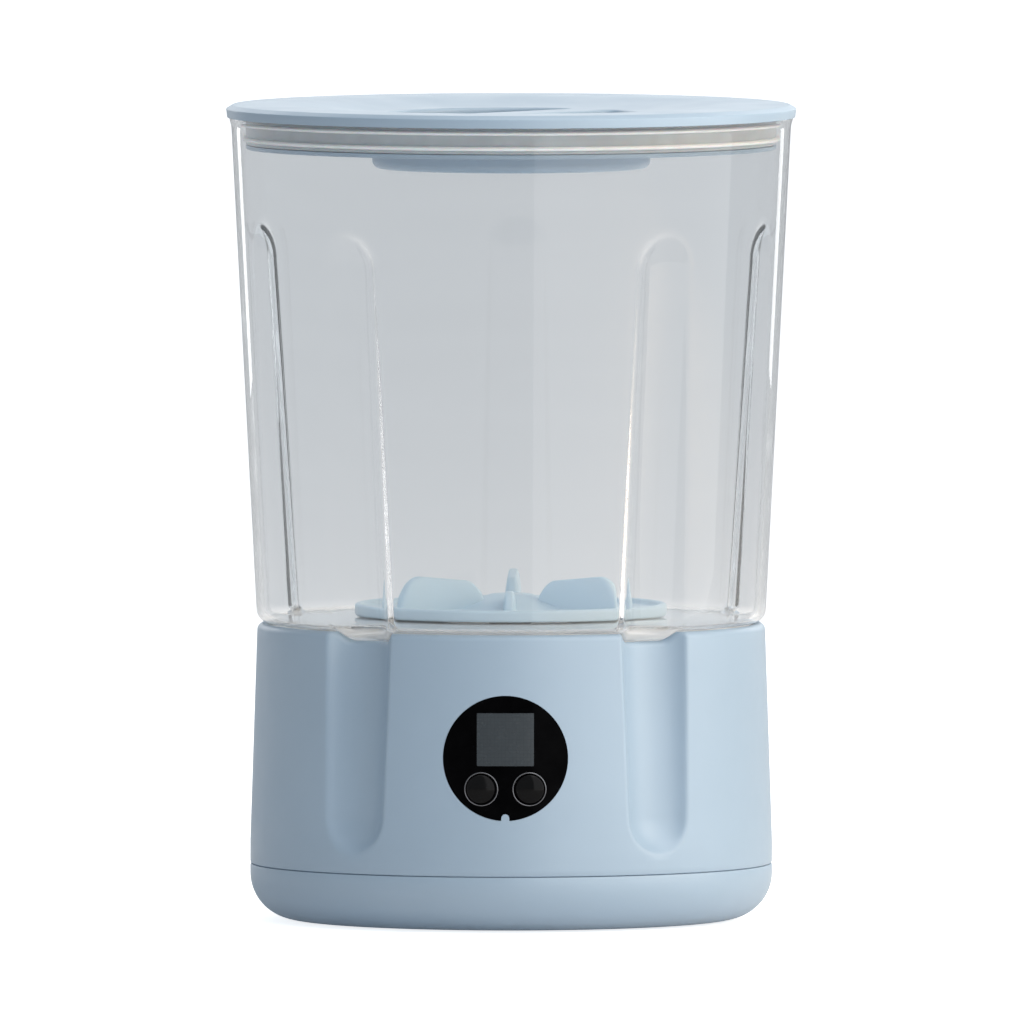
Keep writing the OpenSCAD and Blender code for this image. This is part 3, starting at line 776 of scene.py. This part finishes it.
def make_cover():
    """Bottom cover: rounded lower edge, a recess for each foot and screw, and a lip inside the housing."""
    corner = (BASE_R - BASE_ROUND, FOOT + BASE_ROUND)
    lip = BASE_R - BASE_WALL - 0.25
    outline = [(0.0, FOOT), (20, FOOT), (40, FOOT), (corner[0] - 2, FOOT)]
    outline += arc(corner, BASE_ROUND, -90, 0, 26)
    outline += [(BASE_R, SEAM - 0.5), (BASE_R - 0.12, SEAM - 0.16), (BASE_R - 0.45, SEAM - 0.02)]
    outline += [(lip, SEAM - 0.02), (lip, SEAM + 1.6), (lip - 0.3, SEAM + 1.9), (lip - 1.5, SEAM + 1.9)]
    outline += [(lip - 1.5, SEAM - 3), (BASE_R - BASE_WALL, SEAM - 4)]
    outline += arc(corner, BASE_ROUND - BASE_WALL, -10, -90, 9)
    outline += [(0.0, FOOT + BASE_WALL)]
    cover = lathe("bottom_cover", outline, 240, closed=False, sharp=45)
    boolean(cover, prism("lip_gap", panel(19, SEAM, SEAM + 3, 0, 0), 40, 80), sharp=45)
    for d in FOOT_DIRS:
        boolean(cover, round_cutter(d, FOOT_CIRCLE_R, FOOT_R + 0.15, -1, FOOT + 1.4), sharp=45)
    for d in COLUMN_DIRS:
        boolean(cover, round_cutter(d, COLUMN_CIRCLE_R, 3.0, -1, FOOT + 2.0), sharp=45)
    return dress(cover, "body_blue", "base", "base_cover")


def round_cutter(direction, distance, radius, z0, z1):
    cutter = lathe("cutter", [(0, z0), (radius, z0), (radius, z1), (0, z1)], 48, closed=False)
    return place(cutter, polar(direction, distance))


def make_feet():
    """Rubber pads with a ribbed face."""
    outline = [(0, 0.0)]
    for ring in range(3):
        r = 1.4 + ring * 1.5
        outline += [(r, 0.0), (r + 0.15, 0.25), (r + 0.45, 0.25), (r + 0.6, 0.0)]
    outline += [(5.75, 0.0), (FOOT_R, 0.25), (FOOT_R, FOOT + 1.3), (0, FOOT + 1.3)]
    pads = [place(lathe("pad", outline, 48, closed=False), polar(d, FOOT_CIRCLE_R)) for d in FOOT_DIRS]
    return dress(join("rubber_pads", pads), "foot_rubber", "base", "rubber_feet")


def spout_duct(y):
    """Floor and roof of the feed duct at a distance back."""
    return 23 - 0.627 * (y - 58), 41 - 0.577 * (y - 58)


def at_depth(outline, y):
    """Points of an outline of (x, z), set at a depth along Y."""
    return np.column_stack([outline[:, 0], np.full(len(outline), y), outline[:, 1]])


def make_spout():
    """Outlet mouth with rounded corners and a soft-edged rim."""
    x1, y0, y1 = SPOUT_HIGH[0], SPOUT_LOW[1], SPOUT_HIGH[1]
    z0, z1 = SPOUT_LOW[2], SPOUT_HIGH[2]
    outer = panel(x1, z0, z1, 0.3, 2.4, 6)
    centre = np.array([0, (z0 + z1) / 2])
    rows = []
    for inset, y in ((0, y0), (0, y1 - 0.8), (0.12, y1 - 0.35), (0.4, y1 - 0.08), (0.8, y1)):
        scale = 1 - inset / np.array([x1, (z1 - z0) / 2])
        rows.append(at_depth((outer - centre) * scale + centre, y))
    for grow, y in ((0.55, y1), (0.2, y1 - 0.15), (0, y1 - 0.6), (0, (y0 + y1) / 2), (0, y0)):
        floor, roof = spout_duct(y)
        low, high = max(floor, z0 + 1.0) - grow, min(roof, z1 - 1.0) + grow
        rows.append(at_depth(panel(DUCT_W / 2 + grow, low, high, 2.0, 2.0, 6), y))
    spout = new_object("outlet_mouth", np.concatenate(rows), grid_faces(len(rows), len(outer), True), 50)
    return dress(spout, "body_blue", "base", "outlet_spout")


# ------------------------------------------------------------------ lid


def lid_flange():
    """The lid's outside: its dished top, its edge, which laps over the hopper's lip, and the cup below."""
    radii = np.linspace(DISH_START, DISH_END, 20)
    rise = smoothstep((radii - DISH_START) / (DISH_END - DISH_START))
    slope = list(zip(radii, LID_TOP - (LID_TOP - DISH_LOW) * (1 - rise)))
    edge = [
        (68.0, LID_TOP, 0),
        (LID_R - 1.6, LID_TOP, 0.8),
        (LID_R + 0.02, LID_TOP - 0.95, 0.4),
        (LID_R - 0.25, RIM - 0.65, 0.12),
        (LID_R - 0.43, RIM - 0.65, 0.06),
        (LID_R - 0.43, RIM + 0.02, 0.05),
        (66.2, RIM + 0.02, 0.5),
        (62.5, RIM - 2.2, 1.0),
        (CUP_R, RIM - 2.2, 1.2),
        (CUP_R, CUP_LOW, 2.0),
        (0, CUP_LOW, 0),
    ]
    outline = slope + list(rounded(edge, 6))
    return lathe("lid_underside", outline, LID_SEGMENTS, closed=False, sharp=45)


def ring_edges(bm, ring):
    """Edges that close a ring of vertices."""
    return [bm.edges.new((ring[i], ring[(i + 1) % len(ring)])) for i in range(len(ring))]


def sink_well(bm, side):
    """One half of the finger well, from its soft upper edge to its floor. Returns its upper edges."""
    outline, normals = half_moon(side)
    floor = CUP_LOW + 2.2
    steps = arc((0.9, DISH_LOW - 0.9), 0.9, 90, 180, 7)
    steps += [(0, DISH_LOW - 5), (-0.25, floor + 2.2)]
    steps += arc((-2.45, floor + 2.2), 2.2, -18, -90, 5)
    loops = []
    for grow, z in steps:
        points = outline + normals * grow
        loops.append([bm.verts.new((x * MM, y * MM, z * MM)) for x, y in points])
    edges = ring_edges(bm, loops[0])
    count = len(outline)
    for upper, lower in zip(loops, loops[1:]):
        for i in range(count):
            k = (i + 1) % count
            bm.faces.new((upper[i], upper[k], lower[k], lower[i]))
    bm.faces.new(loops[-1])
    return edges


def lid_face():
    """The flat middle of the lid's top, with the finger well sunk into it."""
    bm = bmesh.new()
    r, z = DISH_START * MM, DISH_LOW * MM
    angles = np.linspace(0, 2 * math.pi, LID_SEGMENTS, endpoint=False)
    edges = ring_edges(bm, [bm.verts.new((r * math.cos(a), r * math.sin(a), z)) for a in angles])
    for side in (1, -1):
        edges += sink_well(bm, side)
    bmesh.ops.triangle_fill(bm, use_beauty=True, edges=edges)
    mesh = bpy.data.meshes.new("lid_face")
    bm.to_mesh(mesh)
    bm.free()
    face = bpy.data.objects.new("lid_face", mesh)
    bpy.context.scene.collection.objects.link(face)
    return face


def make_lid():
    """Flange with a dished top, a finger well crossed by a grip bar, and the cup under it."""
    lid = join("lid_shell", [lid_flange(), lid_face()], 45)
    finish_mesh(lid.data, 45)
    return dress(lid, "body_blue", "lid", "lid_top")


def half_moon(side, corner=3.0):
    """Outline of the well on one side of the grip bar, and its outward normals."""
    half = GRIP_W / 2
    reach = math.sqrt((WELL_R - corner) ** 2 - (half + corner) ** 2)
    end = math.atan2(half + corner, reach)
    points, normals = [], []
    for a in np.linspace(end, math.pi - end, 64):
        points.append((WELL_R * math.cos(a), WELL_R * math.sin(a)))
        normals.append((math.cos(a), math.sin(a)))
    for a in np.linspace(math.pi - end, 1.5 * math.pi, 12)[1:]:
        points.append((-reach + corner * math.cos(a), half + corner + corner * math.sin(a)))
        normals.append((math.cos(a), math.sin(a)))
    for x in np.linspace(-reach, reach, 26)[1:-1]:
        points.append((x, half))
        normals.append((0, -1))
    for a in np.linspace(-math.pi / 2, end, 12)[:-1]:
        points.append((reach + corner * math.cos(a), half + corner + corner * math.sin(a)))
        normals.append((math.cos(a), math.sin(a)))
    turn = GRIP_ANGLE + (0 if side > 0 else math.pi)
    spin = np.array([[math.cos(turn), math.sin(turn)], [-math.sin(turn), math.cos(turn)]])
    return np.array(points) @ spin, np.array(normals) @ spin


def make_plug():
    plug = lathe(
        "lid_inner",
        rounded(
            [
                (CUP_R + 0.25, RIM - 8.5, 0.4),
                (66.3, RIM - 8.5, 1.3),
                (66.3, RIM - 7.4, 0.2),
                (64.3, RIM - 7.4, 0.3),
                (64.3, RIM - 1.6, 0.3),
                (62.0, RIM - 2.3, 0.3),
                (60.5, RIM - 2.3, 0.3),
                (60.5, RIM - 6.5, 0.5),
                (CUP_R + 0.25, RIM - 6.5, 0.4),
            ],
            5,
        ),
        256,
    )
    return dress(plug, "body_blue", "lid", "lid_plug")


def make_seal():
    """Silicone ring, and the two soft ribs that press on the hopper's wall."""
    band = [(64.4, -7.3, 0.2), (66.2, -7.3, 0.4), (66.3, -3.8, 0.3), (66.2, -0.25, 0.3), (65.2, -0.25, 0.3)]
    band.append((64.4, -1.2, 0.2))
    seal = lathe("seal_ring", rounded([(r, RIM + z, c) for r, z, c in band], 5), 256)
    ribs = []
    for middle, reach in ((-5.9, 67.5), (-2.0, 67.6)):
        rib = [(66.0, middle - 0.6, 0.1), (reach - 0.5, middle - 0.42, 0.3), (reach, middle, 0.3)]
        rib += [(reach - 0.5, middle + 0.42, 0.3), (66.0, middle + 0.6, 0.1)]
        ribs.append(lathe("rib", rounded([(r, RIM + z, c) for r, z, c in rib], 4), 256))
    dress(seal, "seal_silicone", "lid", "lid_seal")
    # the ribs get the near-white copy of the seal's silicone, a painted highlight
    dress(join("seal_ribs", ribs), "seal_silicone", "lid", "lid_seal", look=PAINTED_HIGHLIGHT_RIBS)


# ------------------------------------------------------------------ stirrer


def blade(direction, low_r, high_r, foot, top_in, top_out, thick_low, thick_high, lean_in, lean_out):
    """A tapered upright blade with softened edges, from low_r to high_r along a direction in degrees."""
    crown = 0.7 + 0.3 * np.sin(np.radians(np.arange(10, 91, 10)))
    heights = np.concatenate([np.linspace(0, 0.7, 8), crown])
    around = 40
    verts = []
    for t in heights:
        close = max(0.0, (t - 0.7) / 0.3)
        drop = 1 - math.sqrt(max(0.0, 1 - close**2))
        flare = 1.4 * max(0.0, 1 - t / 0.16) ** 2
        start = low_r + lean_in * t**1.3 + 1.6 * drop - flare
        end = high_r - lean_out * t**1.6 - 2.2 * drop + flare * 0.4
        half = (thick_low + (thick_high - thick_low) * t) / 2 - 0.55 * drop + flare * 0.25
        for a in np.linspace(0, 2 * math.pi, around, endpoint=False):
            c, s = math.cos(a), math.sin(a)
            along = (start + end) / 2 + (end - start) / 2 * math.copysign(abs(c) ** 0.18, c)
            across = half * math.copysign(abs(s) ** 0.6, s)
            top = top_in + (top_out - top_in) * (along - low_r) / (high_r - low_r)
            verts.append((along, across, foot + t * (top - foot)))
    rows = len(heights)
    faces = grid_faces(rows, around, False)
    faces.append(tuple(range(around - 1, -1, -1)))
    faces.append(tuple(range((rows - 1) * around, rows * around)))
    obj = new_object("blade", verts, faces, 50)
    return turn_about_z(obj, math.radians(direction))


def make_stirrer():
    low, rim = STIR_LOW[2], 79.3
    dish = 76.0
    outline = rounded(
        [
            (0, dish + 0.01, 0),
            (DISH_R - 0.6, dish + 0.01, 0.5),
            (DISH_R, dish + 0.6, 0.6),
            (DISH_R, rim, 0.8),
            (DISH_R - 1.9, rim, 0.8),
            (DISH_R - 2.4, dish + 2.0, 1.2),
            (16, dish + 2.2, 4.0),
            (5.0, 81.6, 3.0),
            (0, 82.0, 0),
        ],
        6,
    )
    parts = [lathe("dish", outline, 200, closed=False, sharp=45)]
    for d in (-30, 90, 210):
        parts.append(blade(d, 6.6, 32.8, dish + 1.2, 84.6, 87.2, 4.5, 2.7, 4.5, 4.4))
    for d in (-90, 30, 150):
        parts.append(blade(d, 8.0, 26.0, dish + 1.2, 82.6, 83.6, 3.4, 2.3, 1.2, 3.0))
    hub = [(0, low), (6.6, low), (6.9, low + 0.3), (6.9, dish + 1), (0, dish + 1)]
    parts.append(lathe("hub", hub, 64, closed=False))
    stirrer = join("stirrer", parts, 45)
    # the stirrer gets the lighter painted copy of the body blue, as painted light inside the hopper
    return dress(stirrer, "body_blue", "stirrer", "feed_stirrer", look=STIRRER_PAINTED_LIT_PLASTIC)


# ------------------------------------------------------------------ display


def wall_skin(low, high, count, inset):
    """A solid of the base's round wall between two heights, which trims a piece flush with it."""
    outline = [(0, low)] + [(base_body(z) - inset, z) for z in np.linspace(low, high, count)] + [(0, high)]
    return lathe("skin", outline, 720, closed=False)


def button_front():
    """How far forward the wall is at the middle of each button."""
    return float(np.sqrt(base_body(BUTTON_Z) ** 2 - BUTTON_X**2))


def make_window():
    """Black window flush with the curved wall, with openings for the screen and the buttons."""
    window = prism("window_face", display_outline(WINDOW_R, 1.75), -70, -60.5)
    boolean(window, wall_skin(25, 62, 38, 0.0), "INTERSECT", 35)
    for side in (-1, 1):
        hole = lathe("hole", [(0, 50), (4.27, 50), (4.27, 75), (0, 75)], 96, closed=False)
        boolean(window, facing_front(hole, side * BUTTON_X, BUTTON_Z), sharp=35)
    recess = panel(SCREEN_X + 0.04, SCREEN_Z[0] - 0.04, SCREEN_Z[1] + 0.04, 0, 0)
    boolean(window, prism("recess", recess, -80, -50), sharp=35)
    return dress(window, "window_black", "base", "display_window")


def make_screen():
    screen = prism("screen_face", panel(SCREEN_X, *SCREEN_Z, 0.25, 0.25, 4), -70, -60.4)
    boolean(screen, wall_skin(38, 58, 22, 0.05), "INTERSECT", 35)
    return dress(screen, "screen_glass", "base", "display_screen")


def make_rings():
    """Thin metal rings round the buttons."""
    front = button_front()
    outline = [(3.86, 60.6, 0), (4.24, 60.6, 0), (4.24, front + 0.1, 0.14)]
    outline += [(4.0, front + 0.16, 0.12), (3.86, front - 0.1, 0.1)]
    rings = []
    for side in (-1, 1):
        ring = lathe("ring", rounded(outline, 5), 96)
        rings.append(tilt_to_wall(facing_front(ring, side * BUTTON_X, BUTTON_Z), side))
    return dress(join("button_trims", rings), "ring_metal", "base", "button_rings")


def tilt_to_wall(obj, side):
    """Shears a ring's front to follow the curved wall across its width."""
    slope = BUTTON_X / button_front()
    for v in obj.data.vertices:
        if v.co.y < -0.0612:
            v.co.y += side * slope * (v.co.x - side * BUTTON_X * MM)
    obj.data.update()
    return obj


def make_button(side, name, node, body):
    """Domed gloss head over a flange and a stem."""
    edge = button_front() - 0.35
    dome = [(BUTTON_R * math.sin(a), edge + 1.15 * math.cos(a)) for a in np.radians(np.linspace(0, 90, 16))]
    outline = dome + [(BUTTON_R, 60.2), (4.5, 60.2), (4.5, 59.4), (1.5, 59.4), (1.5, 58.7), (0, 58.7)]
    button = lathe(name, outline, 96, closed=False, sharp=40)
    facing_front(button, side * BUTTON_X, BUTTON_Z)
    return dress(button, "window_black", body, node, look=BUTTON_BLACK)


# ------------------------------------------------------------------ build

make_hopper()
make_base()
make_cover()
make_feet()
make_spout()
make_lid()
make_plug()
make_seal()
make_stirrer()
make_window()
make_screen()
make_rings()
make_button(-1, "left_button", "button_left", "button_left")
make_button(1, "right_button", "button_right", "button_right")

slots = {s["node"]: s["material_slot"] for s in frame["record"]["subparts"]}
for node, obj in frame["nodes"].items():
    if not obj.hide_render:
        for slot in obj.material_slots:
            slot.material = MATERIALS[slots[node]]


# ------------------------------------------------------------------ stage, light and camera

FLOOR_SEEN = 0.8  # glow that makes the floor white in the picture
FLOOR_THROUGH = 0.20  # its glow as seen through the clear hopper
FLOOR_GLOW = 0.14  # its glow on the object itself


def stage_floor():
    """A wide pale floor. It looks white, and throws only its own soft light on the feeder."""
    mesh = bpy.data.meshes.new("floor")
    size = 40  # metres from the middle to each side
    corners = [(-size, -size, 0), (size, -size, 0), (size, size, 0), (-size, size, 0)]
    mesh.from_pydata(corners, [], [(0, 1, 2, 3)])
    floor = bpy.data.objects.new("floor", mesh)
    bpy.context.scene.collection.objects.link(floor)
    mat, tree, shader = material("floor_paper", Roughness=0.9, Specular_IOR_Level=0.1)
    paper = two_tone(tree, noise(tree, 6, 3), (0.74, 0.74, 0.75), (0.76, 0.76, 0.77))
    tree.links.new(paper, shader.inputs["Base Color"])
    shader.inputs["Emission Color"].default_value = (0.97, 0.99, 1.0, 1)
    path = tree.nodes.new("ShaderNodeLightPath")
    through = ramp(tree, path.outputs["Is Transmission Ray"], FLOOR_GLOW, FLOOR_THROUGH, 0, 1)
    seen = ramp(tree, path.outputs["Is Camera Ray"], 0, FLOOR_SEEN, 0, 1)
    both = tree.nodes.new("ShaderNodeMath")
    both.operation = "MAXIMUM"
    tree.links.new(through, both.inputs[0])
    tree.links.new(seen, both.inputs[1])
    tree.links.new(both.outputs[0], shader.inputs["Emission Strength"])
    mesh.materials.append(mat)


def area_light(name, place_at, aim, width, height, radiance, colour=(1, 1, 1), seen_by="both"):
    """A rectangular softbox of a given radiance, seen by diffuse surfaces, glossy ones or both."""
    light = bpy.data.lights.new(name, "AREA")
    light.shape = "RECTANGLE"
    light.size = width
    light.size_y = height
    light.energy = radiance * math.pi * width * height
    light.color = colour
    obj = bpy.data.objects.new(name, light)
    obj.location = place_at
    obj.rotation_euler = (Vector(aim) - Vector(place_at)).to_track_quat("-Z", "Y").to_euler()
    obj.visible_camera = False
    obj.visible_transmission = False
    obj.visible_diffuse = seen_by != "glossy"
    obj.visible_glossy = seen_by != "diffuse"
    bpy.context.scene.collection.objects.link(obj)


def on_circle(azimuth, distance, height):
    """A point at an azimuth from the front, positive towards +X."""
    a = math.radians(azimuth)
    return (distance * math.sin(a), -distance * math.cos(a), height)


def make_world(seen, fill, colour):
    """An even studio sky: one strength where it is seen, a lower one where it only fills the shadows."""
    world = bpy.data.worlds.new("studio")
    bpy.context.scene.world = world
    world.use_nodes = True
    tree = world.node_tree
    background = tree.nodes["Background"]
    background.inputs["Color"].default_value = (*colour, 1)
    path = tree.nodes.new("ShaderNodeLightPath")
    strength = ramp(tree, path.outputs["Is Diffuse Ray"], seen, fill, 0, 1)
    tree.links.new(strength, background.inputs["Strength"])


def make_camera():
    aim = Vector((0.0002, 0, 0.102))
    lens = 1600.0
    view_width = 0.256
    distance = view_width * lens / 36.0
    azimuth, elevation = math.radians(1.3), math.radians(2.88)
    level = math.cos(elevation)
    direction = Vector((math.sin(azimuth) * level, -math.cos(azimuth) * level, math.sin(elevation)))
    data = bpy.data.cameras.new("camera")
    data.lens = lens
    data.sensor_width = 36.0
    data.clip_start = 0.1
    data.clip_end = 120.0
    camera = bpy.data.objects.new("camera", data)
    camera.location = aim + direction * distance
    camera.rotation_euler = (-direction).to_track_quat("-Z", "Y").to_euler()
    bpy.context.scene.collection.objects.link(camera)
    bpy.context.scene.camera = camera


stage_floor()
make_camera()
make_world(0.71, 0.50, (0.91, 0.96, 1.0))
area_light("key_softbox", (0.44, -0.145, 0.45), (0.44 - 0.329, -0.145 + 0.378, 0.45), 0.95, 0.9, 1.3)
area_light("warm_key", on_circle(75, 1.2, 0.6), (0, 0, 0.10), 0.8, 0.8, 4.4, (1.0, 0.74, 0.45), "diffuse")
area_light("top_softbox", (0.2, -0.1, 1.4), (0, 0, 0.2), 1.1, 1.1, 1.6)
area_light("back_softbox", (0, 1.2, 0.75), (0, 0, 0.2), 2.2, 1.0, 0.9, (1, 1, 1), "glossy")
area_light("left_strip", on_circle(-150, 1.0, 0.55), (0, 0, 0.1), 0.12, 1.1, 1.7, (1, 1, 1), "glossy")
area_light("right_strip", on_circle(150, 1.0, 0.55), (0, 0, 0.1), 0.12, 1.1, 1.7, (1, 1, 1), "glossy")
scene = bpy.context.scene
scene.view_settings.view_transform = "Standard"
scene.cycles.max_bounces = 24
scene.cycles.transmission_bounces = 24
scene.cycles.transparent_max_bounces = 16
